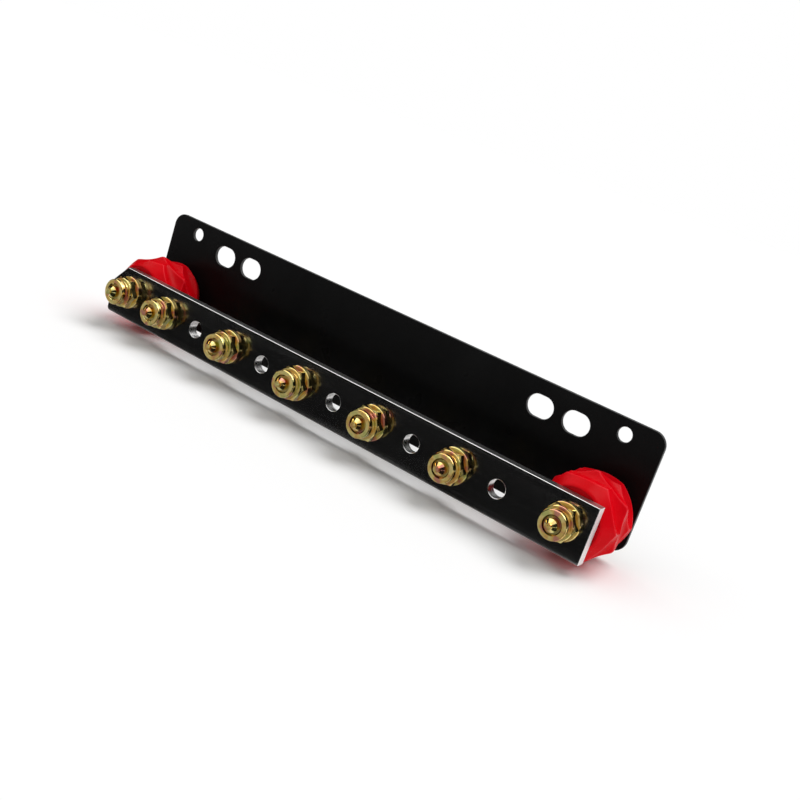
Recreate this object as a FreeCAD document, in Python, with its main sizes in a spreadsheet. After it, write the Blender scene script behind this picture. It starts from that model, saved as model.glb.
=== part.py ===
import FreeCAD, Part
import math
import os
import Sketcher
from FreeCAD import Placement, Rotation, Vector

# Grounding busbar: a bright bar on two red insulators, in front of a slotted backplate.
# X runs along the bar, the front is towards -Y and Z is up. The origin is midway between
# the outer slots, on the rear face of the backplate.

# Driving dimensions in millimetres, and angles in degrees
SIZES = {
    # backplate
    "plate_length": 231,
    "plate_height": 43.6,
    "plate_thickness": 1.5,
    "plate_corner_radius": 5,
    "plate_edge_radius": 0.3,
    "slot_length": 10.5,
    "slot_height": 8,
    "slots_below_top": 9.3,
    "outer_slot_inset": 31.6,
    "slot_pitch": 14.4,
    "round_hole_diameter": 5.3,
    "round_hole_inset": 14.3,
    "round_holes_below_top": 5.6,
    # bar
    "bar_length": 224,
    "bar_height": 20,
    "bar_thickness": 4,
    "bar_axis_below_top": 33.4,
    "bar_cut_along": 6,
    "bar_cut_down": 6.8,
    "bar_corner_radius": 1.6,
    "bar_edge_break": 0.15,
    "bar_hole_edge_break": 0.12,
    # places along the bar: the insulators, and the terminals and open holes between them
    "insulator_from_plate_end": 13.3,
    "insulator_from_bar_end": 9.8,
    "first_bolt_from_insulator": 21.2,
    "last_hole_from_insulator": 24.8,
    "ends_above_bar_axis": 0.8,
    # insulators and the threaded inserts in their ends
    "insulator_diameter": 31,
    "insulator_end_diameter": 22.4,
    "insulator_belt_length": 12,
    "insulator_length": 25,
    "insulator_rim_break": 0.6,
    "scoop_radius": 6,
    "scoop_row_pitch": 5.5,
    "middle_scoop_floor": 13.7,
    "end_scoop_floor": 12.8,
    "left_insulator_turn": 10,
    "right_insulator_turn": 3,
    "insert_diameter": 10,
    "insert_depth": 9,
    "insert_chamfer": 0.4,
    # thread shared by every fastener, the room round it in a plain hole and past its end
    "thread_diameter": 6,
    "hole_clearance": 0.4,
    "thread_end_gap": 1,
    # pieces on the front of the bar, in order from the bar outwards
    "base_washer_diameter": 13,
    "base_washer_thickness": 1,
    "nut_across_flats": 11.1,
    "nut_height": 3,
    "flat_washer_diameter": 11.6,
    "flat_washer_thickness": 0.8,
    "spring_washer_diameter": 10.2,
    "spring_washer_thickness": 0.9,
    "spring_washer_height": 2,
    "spring_washer_gap_angle": 20,
    "round_nut_diameter": 10.1,
    "round_nut_height": 1.6,
    "round_nut_edge_radius": 0.5,
    "round_nut_countersink": 0.4,
    "washer_edge_break": 0.2,
    "hexagon_chamfer_angle": 30,
    # bolts, studs and screws
    "thread_recess": 1.3,
    "pilot_diameter": 4.5,
    "pilot_length": 2.1,
    "pilot_cone_length": 1.1,
    "nib_diameter": 2.2,
    "nib_length": 1,
    "nib_point_length": 0.4,
    "head_across_flats": 10,
    "head_height": 4,
    # pieces behind the backplate
    "rear_washer_diameter": 12,
    "rear_washer_thickness": 1.6,
    "rear_spring_diameter": 11.2,
    "rear_spring_thickness": 1.6,
    "rear_spring_gap": 1,
}
TERMINALS = 5
SCOOPS_PER_ROW = 6
SIDES = {"left": "-1", "right": "1"}

# Turned pieces are drawn about their own +Z, and then face out of the front or the rear.
FRONT = Rotation(Vector(1, 0, 0), 90)
REAR = Rotation(Vector(1, 0, 0), -90)

doc = FreeCAD.newDocument("grounding_busbar")
sheet = doc.addObject("Spreadsheet::Sheet", "Sizes")
for row, (alias, millimetres) in enumerate(SIZES.items(), start=1):
    sheet.set(f"A{row}", alias.replace("_", " "))
    sheet.set(f"B{row}", str(millimetres))
    sheet.setAlias(f"B{row}", alias)
doc.recompute()

pieces = []


def size(alias):
    """One size, as a term of an expression."""
    return f"Sizes.{alias}"


def total(*aliases):
    """The sum of several sizes, as a term of an expression."""
    return "(" + " + ".join(["0"] + [size(alias) for alias in aliases]) + ")"


def number(expression):
    """The present value of an expression, for the first drawing of a sketch."""
    return float(sheet.evalExpression(expression))


# Sketches and features


def origin_part(body, role):
    return next(part for part in body.Origin.OriginFeatures if part.Role == role)


def new_body(name):
    body = doc.addObject("PartDesign::Body", name)
    body.Label = name
    pieces.append(body)
    return body


def new_sketch(body, role):
    sketch = body.newObject("Sketcher::SketchObject", f"{body.Name}_sketch")
    sketch.AttachmentSupport = [(origin_part(body, role), "")]
    sketch.MapMode = "FlatFace"
    return sketch


def constrain(sketch, expression, kind, *where):
    index = sketch.addConstraint(Sketcher.Constraint(kind, *where, number(expression)))
    sketch.setExpression(f"Constraints[{index}]", expression)


def pin(sketch, curve, point, across, up):
    """Hold one point of a curve at two expressions from the sketch's origin."""
    constrain(sketch, across, "DistanceX", -1, 1, curve, point)
    constrain(sketch, up, "DistanceY", -1, 1, curve, point)


def draw_outline(sketch, corners):
    """A closed outline of straight lines between corners given as expressions."""
    points = [Vector(number(across), number(up), 0) for across, up in corners]
    lines = []
    for start, end in zip(points, points[1:] + points[:1]):
        lines.append(sketch.addGeometry(Part.LineSegment(start, end)))
    for line, following in zip(lines, lines[1:] + lines[:1]):
        sketch.addConstraint(Sketcher.Constraint("Coincident", line, 2, following, 1))
    for line, (across, up) in zip(lines, corners):
        pin(sketch, line, 1, across, up)


def draw_circle(sketch, across, up, radius):
    centre = Vector(number(across), number(up), 0)
    circle = sketch.addGeometry(Part.Circle(centre, Vector(0, 0, 1), number(radius)))
    constrain(sketch, radius, "Radius", circle)
    pin(sketch, circle, 3, across, up)


def draw_slot(sketch, across, up, length, height):
    """A level slot with round ends, about a centre given as expressions."""
    ends = []
    for sign, first_angle in (("-", math.pi / 2), ("+", -math.pi / 2)):
        end_across = f"{across} {sign} ({length} - {height}) / 2"
        centre = Vector(number(end_across), number(up), 0)
        circle = Part.Circle(centre, Vector(0, 0, 1), number(f"{height} / 2"))
        arc = Part.ArcOfCircle(circle, first_angle, first_angle + math.pi)
        index = sketch.addGeometry(arc)
        pin(sketch, index, 3, end_across, up)
        constrain(sketch, f"{height} / 2", "Radius", index)
        sketch.addConstraint(Sketcher.Constraint("Vertical", index, 3, index, 1))
        sketch.addConstraint(Sketcher.Constraint("Vertical", index, 3, index, 2))
        ends.append((index, arc))
    for (first, first_arc), (second, second_arc) in (ends, ends[::-1]):
        line = sketch.addGeometry(Part.LineSegment(first_arc.EndPoint, second_arc.StartPoint))
        sketch.addConstraint(Sketcher.Constraint("Coincident", first, 2, line, 1))
        sketch.addConstraint(Sketcher.Constraint("Coincident", line, 2, second, 1))


def hexagon(across_flats):
    """Corners of a hexagon, from the distance across its flats."""
    reach = f"{across_flats} / sqrt(3)"
    return [(f"{reach} * cos({turn})", f"{reach} * sin({turn})") for turn in range(0, 360, 60)]


def pad(body, sketch, length):
    feature = body.newObject("PartDesign::Pad", f"{body.Name}_pad")
    feature.Profile = sketch
    feature.setExpression("Length", length)
    return feature


def pocket_through(body, sketch):
    """Cut a sketch right through the body, to both sides of the sketch."""
    feature = body.newObject("PartDesign::Pocket", f"{body.Name}_pocket")
    feature.Profile = sketch
    feature.Type = "ThroughAll"
    feature.Midplane = True
    return feature


def turn_about_z(body, kind, outlines):
    """Revolve or groove outlines of (radius, height) corners about the body's own Z."""
    sketch = new_sketch(body, "XZ_Plane")
    for corners in outlines:
        draw_outline(sketch, corners)
    feature = body.newObject(f"PartDesign::{kind}", f"{body.Name}_{kind.lower()}")
    feature.Profile = sketch
    feature.ReferenceAxis = (origin_part(body, "Z_Axis"), [""])
    feature.Angle = 360
    return feature


def edges_of(feature, wanted):
    """Names of the edges of a feature that a test picks out."""
    doc.recompute()
    edges = feature.Shape.Edges
    return [f"Edge{index}" for index, edge in enumerate(edges, start=1) if wanted(edge)]


def dress_edges(body, kind, feature, names, amount):
    """Fillet or chamfer the named edges of a feature."""
    dressed = body.newObject(f"PartDesign::{kind}", f"{body.Name}_{kind.lower()}")
    dressed.Base = (feature, names)
    dressed.setExpression("Radius" if kind == "Fillet" else "Size", amount)
    return dressed


def place(piece, x, y, z, facing=Rotation()):
    piece.Placement = Placement(Vector(), facing)
    for axis, expression in (("x", x), ("y", y), ("z", z)):
        piece.setExpression(f"Placement.Base.{axis}", expression)


def ring(name, outer, bore, height, edge):
    """A flat washer with its outer edges broken."""
    body = new_body(name)
    corners = [
        (f"{bore} / 2", "0"),
        (f"{outer} / 2 - {edge}", "0"),
        (f"{outer} / 2", edge),
        (f"{outer} / 2", f"{height} - {edge}"),
        (f"{outer} / 2 - {edge}", height),
        (f"{bore} / 2", height),
    ]
    turn_about_z(body, "Revolution", [corners])
    return body


def hexagon_corner_cut(across_flats, face, direction):
    """Outline that grooves the corners off one end of a hexagon, at the height of that end.
    The direction is the sign that leads from the end into the hexagon."""
    drop = f"{across_flats} / 2 * tan({size('hexagon_chamfer_angle')})"
    return [
        (f"{across_flats} / 2", face),
        (across_flats, face),
        (across_flats, f"{face} {direction} {drop}"),
    ]


# Places shared by several pieces

PLATE_FRONT = f"-{size('plate_thickness')}"
BAR_REAR = f"-{total('plate_thickness', 'insulator_length')}"
BAR_FRONT = f"-{total('plate_thickness', 'insulator_length', 'bar_thickness')}"
BAR_AXIS = f"({size('slots_below_top')} - {size('bar_axis_below_top')})"
END_AXIS = f"({BAR_AXIS} + {size('ends_above_bar_axis')})"
CLEAR_BORE = total("thread_diameter", "hole_clearance")
THREAD_RADIUS = f"{size('thread_diameter')} / 2"
INSERTED_THREAD = f"({size('insert_depth')} - {size('thread_end_gap')})"
STACK = (
    "base_washer_thickness",
    "nut_height",
    "flat_washer_thickness",
    "spring_washer_height",
    "round_nut_height",
)


# The insulators stand as far apart as the shorter of the backplate and the bar allows.
HALF_ON_PLATE = f"{size('plate_length')} / 2 - {size('insulator_from_plate_end')}"
HALF_ON_BAR = f"{size('bar_length')} / 2 - {size('insulator_from_bar_end')}"
INSULATOR_ACROSS = f"min({HALF_ON_PLATE}; {HALF_ON_BAR})"


def end_across(side):
    return f"{SIDES[side]} * {INSULATOR_ACROSS}"


def row_across(place_in_row):
    """Bolts and open holes take turns along the bar, at an even pitch."""
    last = 2 * TERMINALS - 1
    first = f"(-{INSULATOR_ACROSS} + {size('first_bolt_from_insulator')})"
    pitch = f"({INSULATOR_ACROSS} - {size('last_hole_from_insulator')} - {first}) / {last}"
    return f"{first} + {place_in_row} * {pitch}"


BOLT_PLACES = [row_across(2 * terminal) for terminal in range(TERMINALS)]
OPEN_PLACES = [row_across(2 * terminal + 1) for terminal in range(TERMINALS)]


# Backplate


def make_backplate():
    body = new_body("backplate")
    sketch = new_sketch(body, "XZ_Plane")
    half_length = f"{size('plate_length')} / 2"
    top = size("slots_below_top")
    bottom = f"{top} - {size('plate_height')}"
    draw_outline(sketch, [
        (f"-{half_length}", bottom),
        (half_length, bottom),
        (half_length, top),
        (f"-{half_length}", top),
    ])
    round_hole_height = f"{top} - {size('round_holes_below_top')}"
    for side, sign in SIDES.items():
        for inset in (total("outer_slot_inset"), total("outer_slot_inset", "slot_pitch")):
            slot_across = f"{sign} * ({half_length} - {inset})"
            draw_slot(sketch, slot_across, "0", size("slot_length"), size("slot_height"))
        hole_across = f"{sign} * ({half_length} - {size('round_hole_inset')})"
        draw_circle(sketch, hole_across, round_hole_height, f"{size('round_hole_diameter')} / 2")
        draw_circle(sketch, end_across(side), END_AXIS, f"{CLEAR_BORE} / 2")
    blank = pad(body, sketch, size("plate_thickness"))
    corner_distance = number(half_length)

    def at_corner(edge):
        runs_through = math.isclose(edge.BoundBox.XLength + edge.BoundBox.ZLength, 0, abs_tol=1e-6)
        return runs_through and math.isclose(abs(edge.BoundBox.Center.x), corner_distance)

    corners = edges_of(blank, at_corner)
    rounded = dress_edges(body, "Fillet", blank, corners, size("plate_corner_radius"))

    def on_a_face_rim(edge):
        return math.isclose(edge.BoundBox.YLength, 0, abs_tol=1e-6)

    dress_edges(body, "Fillet", rounded, edges_of(rounded, on_a_face_rim), size("plate_edge_radius"))


# Bar


def make_busbar():
    body = new_body("busbar")
    sketch = new_sketch(body, "XZ_Plane")
    half_length = f"{size('bar_length')} / 2"
    half_height = f"{size('bar_height')} / 2"
    draw_outline(sketch, [
        (f"-{half_length}", f"-{half_height}"),
        (half_length, f"-{half_height}"),
        (half_length, half_height),
        (f"-{half_length} + {size('bar_cut_along')}", half_height),
        (f"-{half_length}", f"{half_height} - {size('bar_cut_down')}"),
    ])
    for side in SIDES:
        draw_circle(sketch, end_across(side), size("ends_above_bar_axis"), f"{CLEAR_BORE} / 2")
    for across in BOLT_PLACES + OPEN_PLACES:
        draw_circle(sketch, across, "0", f"{CLEAR_BORE} / 2")
    blank = pad(body, sketch, size("bar_thickness"))
    left_end = -number(half_length)
    underside = -number(half_height)

    def at_low_left_corner(edge):
        box = edge.BoundBox
        return math.isclose(box.XMax, left_end) and math.isclose(box.ZMax, underside)

    corner = edges_of(blank, at_low_left_corner)
    rounded = dress_edges(body, "Fillet", blank, corner, size("bar_corner_radius"))

    def on_outer_rim(edge):
        ends = [vertex.Point for vertex in edge.Vertexes]
        return len(ends) == 2 and math.isclose(ends[0].y, ends[1].y, abs_tol=1e-6)

    rimmed = dress_edges(body, "Chamfer", rounded, edges_of(rounded, on_outer_rim), size("bar_edge_break"))

    def round_a_hole(edge):
        return edge.isClosed()

    dress_edges(body, "Chamfer", rimmed, edges_of(rimmed, round_a_hole), size("bar_hole_edge_break"))
    place(body, "0", BAR_REAR, BAR_AXIS)


# Insulators, drawn from their rear end forwards


def make_insulator(side):
    body = new_body(f"insulator_{side}")
    length = size("insulator_length")
    belt = f"{size('insulator_diameter')} / 2"
    end = f"{size('insulator_end_diameter')} / 2"
    rim = size("insulator_rim_break")
    insert = f"{size('insert_diameter')} / 2"
    depth = size("insert_depth")
    turn_about_z(body, "Revolution", [[
        ("0", depth),
        (insert, depth),
        (insert, "0"),
        (f"{end} - {rim}", "0"),
        (end, rim),
        (belt, f"({length} - {size('insulator_belt_length')}) / 2"),
        (belt, f"({length} + {size('insulator_belt_length')}) / 2"),
        (end, f"{length} - {rim}"),
        (f"{end} - {rim}", length),
        (insert, length),
        (insert, f"{length} - {depth}"),
        ("0", f"{length} - {depth}"),
    ]])
    # Three rows of hollow scoops, with the middle row half a step on, leave zigzag ridges between.
    middle = f"{length} / 2"
    pitch = size("scoop_row_pitch")
    radius = size("scoop_radius")
    turn = size(f"{side}_insulator_turn")
    half_step = f"180 / {SCOOPS_PER_ROW}"
    rows = (
        (f"{middle} - {pitch}", size("end_scoop_floor"), f"{turn} + {half_step}"),
        (middle, size("middle_scoop_floor"), turn),
        (f"{middle} + {pitch}", size("end_scoop_floor"), f"{turn} + {half_step}"),
    )
    for height, floor, angle in rows:
        sketch = new_sketch(body, "XZ_Plane")
        sketch.AttachmentOffset = Placement(Vector(), Rotation(Vector(0, 1, 0), 0))
        sketch.setExpression("AttachmentOffset.Rotation.Pitch", angle)
        draw_circle(sketch, f"{floor} + {radius}", height, radius)
        scoop = pocket_through(body, sketch)
        pattern = body.newObject("PartDesign::PolarPattern", f"{body.Name}_pattern")
        pattern.Originals = [scoop]
        pattern.Axis = (origin_part(body, "Z_Axis"), [""])
        pattern.Angle = 360
        pattern.Occurrences = SCOOPS_PER_ROW
        body.Tip = pattern
    place(body, end_across(side), PLATE_FRONT, END_AXIS, FRONT)


def make_insert(side, end):
    body = new_body(f"insulator_{side}_{end}_insert")
    mouth = size("insert_depth")
    turn_about_z(body, "Revolution", [[
        (THREAD_RADIUS, "0"),
        (f"{size('insert_diameter')} / 2", "0"),
        (f"{size('insert_diameter')} / 2", mouth),
        (f"{THREAD_RADIUS} + {size('insert_chamfer')}", mouth),
        (THREAD_RADIUS, f"{mouth} - {size('insert_chamfer')}"),
    ]])
    if end == "front":
        place(body, end_across(side), f"{BAR_REAR} + {mouth}", END_AXIS, FRONT)
    else:
        place(body, end_across(side), f"{PLATE_FRONT} - {mouth}", END_AXIS, REAR)


# Pieces of one fastener station on the front of the bar


def on_bar(piece, where, *below):
    """Stand a piece on the front of the bar, on top of the pieces named below it."""
    across, up = where
    place(piece, across, f"{BAR_FRONT} - {total(*below)}", up, FRONT)


def make_hexagon_nut(name):
    body = new_body(name)
    sketch = new_sketch(body, "XY_Plane")
    flats = size("nut_across_flats")
    draw_outline(sketch, hexagon(flats))
    draw_circle(sketch, "0", "0", THREAD_RADIUS)
    pad(body, sketch, size("nut_height"))
    turn_about_z(body, "Groove", [
        hexagon_corner_cut(flats, "0", "+"),
        hexagon_corner_cut(flats, size("nut_height"), "-"),
    ])
    return body


def make_spring_washer(name):
    """One turn of a spring of oblong wire, which touches its neighbours with its two ends."""
    bore = f"{CLEAR_BORE} / 2"
    outer = f"{size('spring_washer_diameter')} / 2"
    rise = f"({size('spring_washer_height')} - {size('spring_washer_thickness')})"
    spine = doc.addObject("Part::Helix", f"{name}_spine")
    spine.setExpression("Radius", f"({bore} + {outer}) / 2")
    spine.setExpression("Height", rise)
    spine.setExpression("Pitch", f"{rise} * 360 / (360 - {size('spring_washer_gap_angle')})")
    wire = doc.addObject("Part::Plane", f"{name}_wire")
    wire.setExpression("Length", f"{outer} - {bore}")
    wire.setExpression("Width", size("spring_washer_thickness"))
    place(wire, bore, "0", "0", FRONT)
    washer = doc.addObject("Part::Sweep", name)
    washer.Label = name
    washer.Sections = [wire]
    washer.Spine = (spine, ["Edge1"])
    washer.Solid = True
    washer.Frenet = True
    pieces.append(washer)
    return washer


def make_round_nut(name):
    body = new_body(name)
    outer = f"{size('round_nut_diameter')} / 2"
    height = size("round_nut_height")
    blank = turn_about_z(body, "Revolution", [[
        (THREAD_RADIUS, "0"),
        (outer, "0"),
        (outer, height),
        (f"{THREAD_RADIUS} + {size('round_nut_countersink')}", height),
        (THREAD_RADIUS, f"{height} - {size('round_nut_countersink')}"),
    ]])
    front = number(height)
    reach = number(outer)

    def round_the_front(edge):
        box = edge.BoundBox
        return math.isclose(box.ZMin, front, abs_tol=1e-6) and math.isclose(box.XMax, reach, abs_tol=1e-6)

    dress_edges(body, "Fillet", blank, edges_of(blank, round_the_front), size("round_nut_edge_radius"))
    return body


def make_head(body, top):
    """A hexagon head whose flat side is at a height, with its corners cut at the other end."""
    flats = size("head_across_flats")
    sketch = new_sketch(body, "XY_Plane")
    sketch.setExpression("AttachmentOffset.Base.z", f"{top} - {size('head_height')}")
    draw_outline(sketch, hexagon(flats))
    pad(body, sketch, size("head_height"))
    turn_about_z(body, "Groove", [hexagon_corner_cut(flats, f"{top} - {size('head_height')}", "+")])


def make_tipped_bolt(name, tail):
    """A threaded rod from its tail, behind the bar's front, to a thin pilot tip in front."""
    body = new_body(name)
    pilot = f"{size('pilot_diameter')} / 2"
    nib = f"{size('nib_diameter')} / 2"
    thread_end = f"{total(*STACK)} - {size('thread_recess')}"
    pilot_end = f"{thread_end} + {size('pilot_length')}"
    cone_end = f"{pilot_end} + {size('pilot_cone_length')}"
    nib_end = f"{cone_end} + {size('nib_length')}"
    turn_about_z(body, "Revolution", [[
        ("0", tail),
        (THREAD_RADIUS, tail),
        (THREAD_RADIUS, thread_end),
        (pilot, thread_end),
        (pilot, pilot_end),
        (nib, cone_end),
        (nib, nib_end),
        ("0", f"{nib_end} + {size('nib_point_length')}"),
    ]])
    return body


def make_station(name, where, rod, tail):
    bolt = make_tipped_bolt(f"{name}_{rod}", tail)
    if rod == "bolt":
        make_head(bolt, tail)
    on_bar(bolt, where)
    edge = size("washer_edge_break")
    base = ring(f"{name}_base_washer", size("base_washer_diameter"), CLEAR_BORE,
                size("base_washer_thickness"), edge)
    on_bar(base, where)
    on_bar(make_hexagon_nut(f"{name}_hex_nut"), where, *STACK[:1])
    flat = ring(f"{name}_flat_washer", size("flat_washer_diameter"), CLEAR_BORE,
                size("flat_washer_thickness"), edge)
    on_bar(flat, where, *STACK[:2])
    on_bar(make_spring_washer(f"{name}_spring_washer"), where, *STACK[:3])
    on_bar(make_round_nut(f"{name}_round_nut"), where, *STACK[:4])


# Screw and washers behind the backplate, drawn from the plate's rear face backwards


def make_rear_fixing(side):
    across = end_across(side)
    flat = ring(f"rear_{side}_flat_washer", size("rear_washer_diameter"), CLEAR_BORE,
                size("rear_washer_thickness"), size("washer_edge_break"))
    place(flat, across, "0", END_AXIS, REAR)
    spring = ring(f"rear_{side}_spring_washer", size("rear_spring_diameter"), CLEAR_BORE,
                  size("rear_spring_thickness"), size("washer_edge_break"))
    slit = new_sketch(spring, "XY_Plane")
    half_gap = f"{size('rear_spring_gap')} / 2"
    reach = size("rear_spring_diameter")
    draw_outline(slit, [
        ("0", f"-{half_gap}"),
        (reach, f"-{half_gap}"),
        (reach, half_gap),
        ("0", half_gap),
    ])
    pocket_through(spring, slit)
    place(spring, across, size("rear_washer_thickness"), END_AXIS, REAR)
    screw = new_body(f"rear_{side}_screw")
    # The screw points forwards, from the underside of its head to the end of its thread.
    length = f"({total('rear_washer_thickness', 'rear_spring_thickness', 'plate_thickness')}" \
        f" + {INSERTED_THREAD})"
    point = f"{THREAD_RADIUS} - {size('insert_chamfer')}"
    turn_about_z(screw, "Revolution", [[
        ("0", "0"),
        (THREAD_RADIUS, "0"),
        (THREAD_RADIUS, f"{length} - {size('insert_chamfer')}"),
        (point, length),
        ("0", length),
    ]])
    make_head(screw, "0")
    head_seat = total("rear_washer_thickness", "rear_spring_thickness")
    place(screw, across, head_seat, END_AXIS, FRONT)


make_backplate()
make_busbar()
for side in SIDES:
    make_insulator(side)
    for end in ("front", "rear"):
        make_insert(side, end)
    make_rear_fixing(side)
    make_station(f"end_{side}", (end_across(side), END_AXIS), "stud",
                 f"-({size('bar_thickness')} + {INSERTED_THREAD})")
for terminal, across in enumerate(BOLT_PLACES, start=1):
    make_station(f"terminal_{terminal}", (across, BAR_AXIS), "bolt", f"-{size('bar_thickness')}")
doc.recompute()

failed = [part.Name for part in doc.Objects if {"Invalid", "Error"} & set(part.State)]
failed += [piece.Label for piece in pieces if piece.Shape.isNull() or not piece.Shape.isValid()]
if failed:
    raise RuntimeError(f"these failed: {failed}")

os.makedirs("parts", exist_ok=True)
for piece in pieces:
    piece.Shape.exportStep(f"parts/{piece.Label}.step")
print(len(pieces), "pieces written")
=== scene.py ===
"""Looks of a grounding busbar: a bright bar on red insulators in front of a black backplate.

Lengths are in metres, X runs along the bar, the front is -Y and Z is up.
"""

import math

import bpy
from mathutils import Matrix, Vector


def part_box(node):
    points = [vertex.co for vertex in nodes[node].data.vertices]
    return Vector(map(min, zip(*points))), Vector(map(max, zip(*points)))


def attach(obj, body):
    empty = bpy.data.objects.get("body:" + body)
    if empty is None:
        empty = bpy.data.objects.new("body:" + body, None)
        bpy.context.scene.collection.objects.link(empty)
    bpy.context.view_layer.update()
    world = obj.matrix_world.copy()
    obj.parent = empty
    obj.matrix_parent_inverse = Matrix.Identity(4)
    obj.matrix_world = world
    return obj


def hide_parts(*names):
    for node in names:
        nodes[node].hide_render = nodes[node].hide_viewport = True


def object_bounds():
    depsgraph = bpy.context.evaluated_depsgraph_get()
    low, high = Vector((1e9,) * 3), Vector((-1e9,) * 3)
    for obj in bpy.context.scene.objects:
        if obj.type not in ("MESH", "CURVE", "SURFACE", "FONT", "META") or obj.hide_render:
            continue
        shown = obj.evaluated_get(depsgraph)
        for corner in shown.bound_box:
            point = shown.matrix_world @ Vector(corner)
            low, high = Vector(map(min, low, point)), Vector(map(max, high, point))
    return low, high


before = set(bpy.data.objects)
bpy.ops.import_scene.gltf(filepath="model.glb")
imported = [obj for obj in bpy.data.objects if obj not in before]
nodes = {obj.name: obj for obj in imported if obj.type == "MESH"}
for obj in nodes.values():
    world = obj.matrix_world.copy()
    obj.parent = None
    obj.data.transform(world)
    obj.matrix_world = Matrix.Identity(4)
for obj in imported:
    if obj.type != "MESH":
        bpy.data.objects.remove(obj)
packed_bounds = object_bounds()
FLOOR_HEIGHT = packed_bounds[0][2]

# Camera, found from the slots, holes and straight edges in the photo

CAMERA_AZIMUTH = math.radians(29.36)
CAMERA_ELEVATION = math.radians(14.75)
CAMERA_ROLL = math.radians(18.81)
CAMERA_DISTANCE = 0.42125
CAMERA_TARGET = Vector((0.00862, 0.01207, -0.02488))
CAMERA_LENS = 48.799
CAMERA_CLIP_START = 0.01


def make_camera():
    back = Vector((
        math.sin(CAMERA_AZIMUTH) * math.cos(CAMERA_ELEVATION),
        -math.cos(CAMERA_AZIMUTH) * math.cos(CAMERA_ELEVATION),
        math.sin(CAMERA_ELEVATION),
    ))
    level = Vector((math.cos(CAMERA_AZIMUTH), math.sin(CAMERA_AZIMUTH), 0))
    upright = back.cross(level)
    right = math.cos(CAMERA_ROLL) * level + math.sin(CAMERA_ROLL) * upright
    up = back.cross(right)
    camera = bpy.data.objects.new("camera", bpy.data.cameras.new("camera"))
    camera.data.lens = CAMERA_LENS
    camera.data.clip_start = CAMERA_CLIP_START
    facing = Matrix((right, up, back)).transposed().to_4x4()
    camera.matrix_world = Matrix.Translation(CAMERA_TARGET + CAMERA_DISTANCE * back) @ facing
    bpy.context.collection.objects.link(camera)
    bpy.context.scene.camera = camera


# Materials

NOISE_MIDDLE = (0.3, 0.7)
RIM_TO_FACE = (0.8, 0.98)
OUTER_FACE_DEPTHS = (0.00003, 0.00001)


class Finish:
    """A material whose shader is fed by procedural textures in object coordinates."""

    def __init__(self, name):
        self.material = bpy.data.materials.new(name)
        self.material.use_nodes = True
        self.tree = self.material.node_tree
        self.shader = self.tree.nodes["Principled BSDF"]
        coordinates = self.tree.nodes.new("ShaderNodeTexCoord")
        self.place = coordinates.outputs["Object"]
        self.facing = coordinates.outputs["Normal"]

    def link(self, source, target):
        self.tree.links.new(source, target)

    def set(self, **values):
        for name, value in values.items():
            self.shader.inputs[name.replace("_", " ")].default_value = value

    def noise(self, scale, detail=3, stretch=(1, 1, 1)):
        mapping = self.tree.nodes.new("ShaderNodeMapping")
        mapping.inputs["Scale"].default_value = stretch
        self.link(self.place, mapping.inputs["Vector"])
        texture = self.tree.nodes.new("ShaderNodeTexNoise")
        texture.inputs["Scale"].default_value = scale
        texture.inputs["Detail"].default_value = detail
        self.link(mapping.outputs["Vector"], texture.inputs["Vector"])
        return texture.outputs["Fac"]

    def remap(self, source, old, new):
        """Carry one range of values over to another, and hold it there."""
        stretch = self.tree.nodes.new("ShaderNodeMapRange")
        for side, value in zip(("Min", "Max"), old):
            stretch.inputs[f"From {side}"].default_value = value
        for side, value in zip(("Min", "Max"), new):
            stretch.inputs[f"To {side}"].default_value = value
        self.link(source, stretch.inputs["Value"])
        return stretch.outputs["Result"]

    def spread(self, source, low, high):
        """Turn a texture's middle range into a range of values."""
        return self.remap(source, NOISE_MIDDLE, (low, high))

    def math(self, operation, *values):
        """Join sources and numbers by one operation."""
        node = self.tree.nodes.new("ShaderNodeMath")
        node.operation = operation
        for value, target in zip(values, node.inputs):
            if isinstance(value, (int, float)):
                target.default_value = value
            else:
                self.link(value, target)
        return node.outputs["Value"]

    def lifted(self, texture, mask):
        """Halve a texture's range, and lift it to the upper half where the mask is one."""
        return self.math("MULTIPLY_ADD", mask, 0.5, self.math("MULTIPLY", texture, 0.5))

    def attribute(self, name):
        """A number kept on the mesh's corners, and nothing where the mesh has none."""
        node = self.tree.nodes.new("ShaderNodeAttribute")
        node.attribute_name = name
        return node.outputs["Fac"]

    def part_of(self, vector, axis):
        split = self.tree.nodes.new("ShaderNodeSeparateXYZ")
        self.link(vector, split.inputs["Vector"])
        return split.outputs[axis]

    def flat_to_front(self):
        """One on faces square to the front and rear, falling to nothing on rims and walls."""
        across = self.math("ABSOLUTE", self.part_of(self.facing, "Y"))
        return self.remap(across, RIM_TO_FACE, (0, 1))

    def outer_faces(self, axis, middle, reach):
        """One on the two outermost faces across an axis, falling to nothing just below them."""
        offset = self.math("ABSOLUTE", self.math("SUBTRACT", self.part_of(self.place, axis), middle))
        start, end = (reach - depth for depth in OUTER_FACE_DEPTHS)
        return self.remap(offset, (start, end), (0, 1))

    def colours(self, source, stops):
        ramp = self.tree.nodes.new("ShaderNodeValToRGB")
        elements = ramp.color_ramp.elements
        while len(elements) < len(stops):
            elements.new(0.5)
        for element, (position, colour) in zip(elements, stops):
            element.position = position
            element.color = (*colour, 1)
        self.link(source, ramp.inputs["Fac"])
        self.link(ramp.outputs["Color"], self.shader.inputs["Base Color"])

    def roughness(self, source, low, high):
        self.link(self.spread(source, low, high), self.shader.inputs["Roughness"])

    def bump(self, source, depth):
        relief = self.tree.nodes.new("ShaderNodeBump")
        relief.inputs["Strength"].default_value = 1
        relief.inputs["Distance"].default_value = depth
        self.link(source, relief.inputs["Height"])
        self.link(relief.outputs["Normal"], self.shader.inputs["Normal"])


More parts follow.
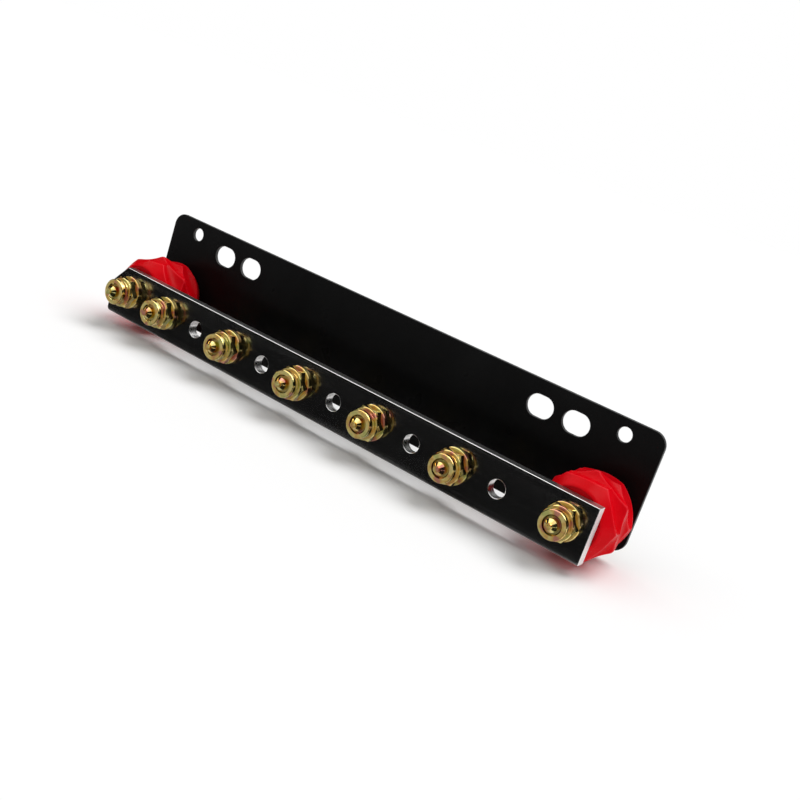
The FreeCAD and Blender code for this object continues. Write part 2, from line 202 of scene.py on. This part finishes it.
def black_coat():
    """Semi-gloss black, painted lighter grey on rims and walls as a painted highlight along the edges."""
    finish = Finish("black_coat_finish")
    finish.set(Specular_IOR_Level=0.08)
    # The lighter grey on rims and walls below is a painted highlight.
    rim_highlight = finish.math("SUBTRACT", 1, finish.flat_to_front())
    finish.colours(finish.lifted(finish.noise(scale=40), rim_highlight), [
        (0.15, (0.003, 0.003, 0.003)),
        (0.4, (0.006, 0.006, 0.006)),
        (0.6, (0.06, 0.06, 0.06)),
        (0.85, (0.1, 0.1, 0.1)),
    ])
    finish.roughness(finish.noise(scale=60), low=0.26, high=0.34)
    finish.bump(finish.noise(scale=1600), depth=0.00002)
    return finish.material


def bright_bar():
    """Polished and brushed lengthwise, with paler sawn ends and drilled holes."""
    finish = Finish("bright_bar_finish")
    low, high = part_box("busbar")
    middle = (low + high) / 2
    reach = (high - low) / 2
    sawn = finish.outer_faces("X", middle.x, reach.x)
    rolled = finish.math("MAXIMUM", finish.outer_faces("Z", middle.z, reach.z), finish.flat_to_front())
    cut = finish.math("SUBTRACT", 1, rolled)
    brushing = finish.noise(scale=1, stretch=(30, 1200, 1200))
    finish.colours(finish.lifted(brushing, cut), [
        (0.15, (0.33, 0.33, 0.325)),
        (0.4, (0.4, 0.4, 0.395)),
        (0.55, (0.84, 0.83, 0.82)),
        (0.85, (0.92, 0.91, 0.9)),
    ])
    finish.link(finish.remap(sawn, (0, 1), (1, 0.4)), finish.shader.inputs["Metallic"])
    polish = finish.spread(brushing, low=0.1, high=0.16)
    dull = finish.remap(finish.flat_to_front(), (0, 1), (0.15, 0))
    uneven = finish.math("MULTIPLY_ADD", sawn, 0.15, dull)
    finish.link(finish.math("ADD", polish, uneven), finish.shader.inputs["Roughness"])
    finish.bump(brushing, depth=0.000001)
    return finish.material


def yellow_zinc():
    """Yellow passivated zinc, in patches from pink through gold to green, satin on the faced ends."""
    finish = Finish("yellow_zinc_finish")
    finish.set(Coat_Weight=0.7, Coat_Roughness=0.06)
    finish.colours(finish.noise(scale=260, detail=2), [
        (0.36, (0.74, 0.31, 0.21)),
        (0.44, (0.88, 0.58, 0.15)),
        (0.55, (0.97, 0.79, 0.3)),
        (0.68, (0.7, 0.67, 0.22)),
    ])
    faced = finish.flat_to_front()
    finish.link(finish.remap(faced, (0, 1), (1, 0.5)), finish.shader.inputs["Metallic"])
    polish = finish.spread(finish.noise(scale=900), low=0.1, high=0.18)
    finish.link(finish.math("MULTIPLY_ADD", faced, 0.22, polish), finish.shader.inputs["Roughness"])
    finish.bump(finish.noise(scale=2500), depth=0.000006)
    return finish.material


def red_plastic():
    """Saturated red, painted paler pink along the ridges between the scoops as a painted highlight."""
    finish = Finish("red_insulator_finish")
    finish.set(Specular_IOR_Level=0.06)
    # The ridge attribute lifts the colour to the pale pink stop: a painted highlight along the ridges.
    finish.colours(finish.lifted(finish.noise(scale=120), finish.attribute("ridge")), [
        (0.15, (0.66, 0.0004, 0.004)),
        (0.35, (0.76, 0.0008, 0.007)),
        (0.8, (0.86, 0.03, 0.045)),
    ])
    finish.roughness(finish.noise(scale=300), low=0.22, high=0.34)
    finish.bump(finish.noise(scale=1500), depth=0.000012)
    return finish.material


def insert_brass():
    finish = Finish("insert_brass_finish")
    finish.set(Metallic=1)
    finish.colours(finish.noise(scale=200), [(0.35, (0.6, 0.42, 0.14)), (0.65, (0.72, 0.52, 0.2))])
    finish.roughness(finish.noise(scale=500), low=0.22, high=0.32)
    finish.bump(finish.noise(scale=1500), depth=0.000005)
    return finish.material


def paint_nodes(finishes):
    for name, node in nodes.items():
        if name == "backplate":
            slot = "black_coat"
        elif name == "busbar":
            slot = "bright_bar"
        elif name.endswith("_insert"):
            slot = "insert_brass"
        elif name.startswith("insulator"):
            slot = "red_insulator"
        else:
            slot = "yellow_zinc"
        for place in node.material_slots:
            place.material = finishes[slot]


# Insulators: drums with softly edged ridges between three rows of scoops

DRUM_BELT_RADIUS = 0.0155
DRUM_BELT_HALF_LENGTH = 0.006
DRUM_END_RADIUS = 0.0112
DRUM_RIM = 0.0006
DRUM_RIM_STEPS = 4
DRUM_SIDE_STEPS = {"full": 120, "quick": 40}
DRUM_COLUMNS = {"full": 288, "quick": 120}
DRUM_SHARP_ANGLE = math.radians(40)
BORE_RADIUS = 0.005
BORE_DEPTH = 0.009
SCOOP_RADIUS = 0.006
SCOOP_ROW_PITCH = 0.0055
SCOOP_FLOORS = {-1: 0.0128, 0: 0.0137, 1: 0.0128}
SCOOPS_PER_ROW = 6
RIDGE_SOFTNESS = 0.00012
# Width of the painted highlight along the drums' ridges.
RIDGE_HIGHLIGHT_WIDTH = 0.0002
SEAM_HEIGHT = 0.00006
SEAM_WIDTH = 0.00015
DRUM_TURNS = {"left": math.radians(10), "right": math.radians(3)}


def drum_side(angle, along, half_length, turn):
    """Radius of the drum's side and its nearness to a ridge (the strength of the painted highlight
    there), where along is measured from the middle.
    """
    slope = (DRUM_BELT_RADIUS - DRUM_END_RADIUS) / (half_length - DRUM_BELT_HALF_LENGTH)
    walls = [DRUM_BELT_RADIUS - slope * max(abs(along) - DRUM_BELT_HALF_LENGTH, 0)]
    step = 2 * math.pi / SCOOPS_PER_ROW
    for row, floor in SCOOP_FLOORS.items():
        off_row = along - row * SCOOP_ROW_PITCH
        if abs(off_row) >= SCOOP_RADIUS:
            continue
        wall = floor + SCOOP_RADIUS - math.sqrt(SCOOP_RADIUS ** 2 - off_row ** 2)
        off_scoop = math.remainder(angle - turn - abs(row) * step / 2, step)
        walls.append(wall / math.cos(off_scoop))
    walls.sort()
    nearest = walls[0]
    blend = sum(math.exp((nearest - wall) / RIDGE_SOFTNESS) for wall in walls)
    off_seam = math.remainder(angle - math.pi / 2, math.pi) * nearest
    seam = SEAM_HEIGHT * math.exp(-(off_seam / SEAM_WIDTH) ** 2)
    radius = nearest - RIDGE_SOFTNESS * math.log(blend) + seam - SEAM_HEIGHT
    off_ridge = walls[1] - nearest if len(walls) > 1 else math.inf
    return radius, math.exp(-off_ridge / RIDGE_HIGHLIGHT_WIDTH)


def drum_stations(half_length, side_steps):
    """Places along the drum, each with how far a rounded rim draws it in."""
    rim = []
    for step in range(DRUM_RIM_STEPS):
        turned = math.pi / 2 * step / DRUM_RIM_STEPS
        rim.append((half_length - DRUM_RIM * (1 - math.sin(turned)), DRUM_RIM * (1 - math.cos(turned))))
    reach = half_length - DRUM_RIM
    side = [(reach * (2 * step / side_steps - 1), 0) for step in range(side_steps + 1)]
    front = [(-along, inset) for along, inset in rim]
    rear = rim[::-1]
    return front + side + rear


def make_drum(side, finish):
    low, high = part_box(f"insulator_{side}")
    centre = (low + high) / 2
    half_length = (high.y - low.y) / 2
    fineness = "full"
    columns = DRUM_COLUMNS[fineness]
    angles = [2 * math.pi * column / columns for column in range(columns)]
    rings = [[(BORE_RADIUS, along, 0)] * columns for along in (BORE_DEPTH - half_length, -half_length)]
    for along, inset in drum_stations(half_length, DRUM_SIDE_STEPS[fineness]):
        ring = []
        for angle in angles:
            radius, ridge = drum_side(angle, along, half_length, DRUM_TURNS[side])
            ring.append((radius - inset, along, ridge))
        rings.append(ring)
    rings += [[(BORE_RADIUS, along, 0)] * columns for along in (half_length, half_length - BORE_DEPTH)]
    corners = []
    ridges = []
    for ring in rings:
        for angle, (radius, along, ridge) in zip(angles, ring):
            corners.append(centre + Vector((radius * math.cos(angle), along, radius * math.sin(angle))))
            ridges.append(ridge)
    faces = []
    for ring in range(len(rings) - 1):
        for column in range(columns):
            after = (column + 1) % columns
            faces.append((
                ring * columns + column,
                ring * columns + after,
                (ring + 1) * columns + after,
                (ring + 1) * columns + column,
            ))
    faces.append(tuple(reversed(range(columns))))
    faces.append(tuple(range(len(corners) - columns, len(corners))))
    mesh = bpy.data.meshes.new(f"drum_{side}")
    mesh.from_pydata(corners, [], faces)
    # The ridge attribute carries the painted highlight along the ridges to the material.
    mesh.attributes.new("ridge", "FLOAT", "POINT").data.foreach_set("value", ridges)
    mesh.materials.append(finish)
    mesh.shade_smooth()
    mesh.set_sharp_from_angle(angle=DRUM_SHARP_ANGLE)
    drum = bpy.data.objects.new(f"drum_{side}", mesh)
    bpy.context.collection.objects.link(drum)
    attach(drum, "root")
    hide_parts(f"insulator_{side}")


# Stage

FLOOR_SIZE = 12
FLOOR_COLOUR = (0.97, 0.97, 0.97, 1)
CARD_COLOUR = (0.015, 0.015, 0.015, 1)


def make_floor():
    finish = Finish("floor_finish")
    finish.set(Base_Color=FLOOR_COLOUR, Roughness=1, Specular_IOR_Level=0)
    bpy.ops.mesh.primitive_plane_add(size=FLOOR_SIZE, location=(0, 0, FLOOR_HEIGHT))
    floor = bpy.context.object
    floor.name = "floor"
    floor.data.materials.append(finish.material)


def make_dark_card(name, corners, faces):
    """A dark surface that is only seen in reflections, as a dark room round a light table would be."""
    finish = Finish(f"{name}_finish")
    finish.set(Base_Color=CARD_COLOUR, Roughness=0.9, Specular_IOR_Level=0)
    mesh = bpy.data.meshes.new(name)
    mesh.from_pydata(corners, [], faces)
    mesh.materials.append(finish.material)
    card = bpy.data.objects.new(name, mesh)
    card.visible_camera = False
    card.visible_diffuse = False
    card.visible_shadow = False
    card.visible_transmission = False
    bpy.context.collection.objects.link(card)


def make_floor_card():
    """A dark strip of floor in front of the bar."""
    near = -0.042
    far = -0.16
    reach = 0.25
    lift = 0.0005
    height = FLOOR_HEIGHT + lift
    corners = [(-reach, near, height), (reach, near, height), (reach, far, height), (-reach, far, height)]
    make_dark_card("floor_card", corners, [(0, 1, 2, 3)])


def make_room_wall():
    """A low round wall about the table."""
    radius = 0.6
    top = 0.4
    segments = 48
    corners = []
    for segment in range(segments):
        angle = 2 * math.pi * segment / segments
        across = radius * math.cos(angle)
        along = radius * math.sin(angle)
        corners += [(across, along, FLOOR_HEIGHT), (across, along, top)]
    faces = []
    for segment in range(segments):
        low = 2 * segment
        next_low = 2 * ((segment + 1) % segments)
        faces.append((low, next_low, next_low + 1, low + 1))
    make_dark_card("room_wall", corners, faces)


def make_stage():
    make_floor()
    make_floor_card()
    make_room_wall()


# Lights

WORLD_LEVEL = 0.38


def light_world():
    """White to look at and in mirrors, dimmer as a lamp."""
    world = bpy.data.worlds.new("world")
    bpy.context.scene.world = world
    world.use_nodes = True
    tree = world.node_tree
    path = tree.nodes.new("ShaderNodeLightPath")
    seen = path.outputs["Is Camera Ray"]
    for kind in ("Is Glossy Ray", "Is Transmission Ray"):
        either = tree.nodes.new("ShaderNodeMath")
        either.operation = "MAXIMUM"
        tree.links.new(seen, either.inputs[0])
        tree.links.new(path.outputs[kind], either.inputs[1])
        seen = either.outputs["Value"]
    level = tree.nodes.new("ShaderNodeMapRange")
    level.inputs["To Min"].default_value = WORLD_LEVEL
    level.inputs["To Max"].default_value = 1
    tree.links.new(seen, level.inputs["Value"])
    background = tree.nodes["Background"]
    background.inputs["Color"].default_value = (1, 1, 1, 1)
    tree.links.new(level.outputs["Result"], background.inputs["Strength"])


def add_sun(name, towards, strength, angle):
    lamp = bpy.data.lights.new(name, "SUN")
    lamp.energy = strength
    lamp.angle = math.radians(angle)
    sun = bpy.data.objects.new(name, lamp)
    sun.rotation_euler = Vector(towards).to_track_quat("-Z", "Y").to_euler()
    bpy.context.collection.objects.link(sun)


def make_lights():
    light_world()
    add_sun("key", towards=(-0.3, -0.4, -1), strength=1.9, angle=45)
    add_sun("fill", towards=(0.7, 0.3, -1), strength=0.5, angle=60)


# The whole scene

finishes = {
    "black_coat": black_coat(),
    "bright_bar": bright_bar(),
    "red_insulator": red_plastic(),
    "insert_brass": insert_brass(),
    "yellow_zinc": yellow_zinc(),
}
make_camera()
paint_nodes(finishes)
for side in ("left", "right"):
    make_drum(side, finishes["red_insulator"])
make_stage()
make_lights()

bpy.context.scene.view_settings.view_transform = "Standard"
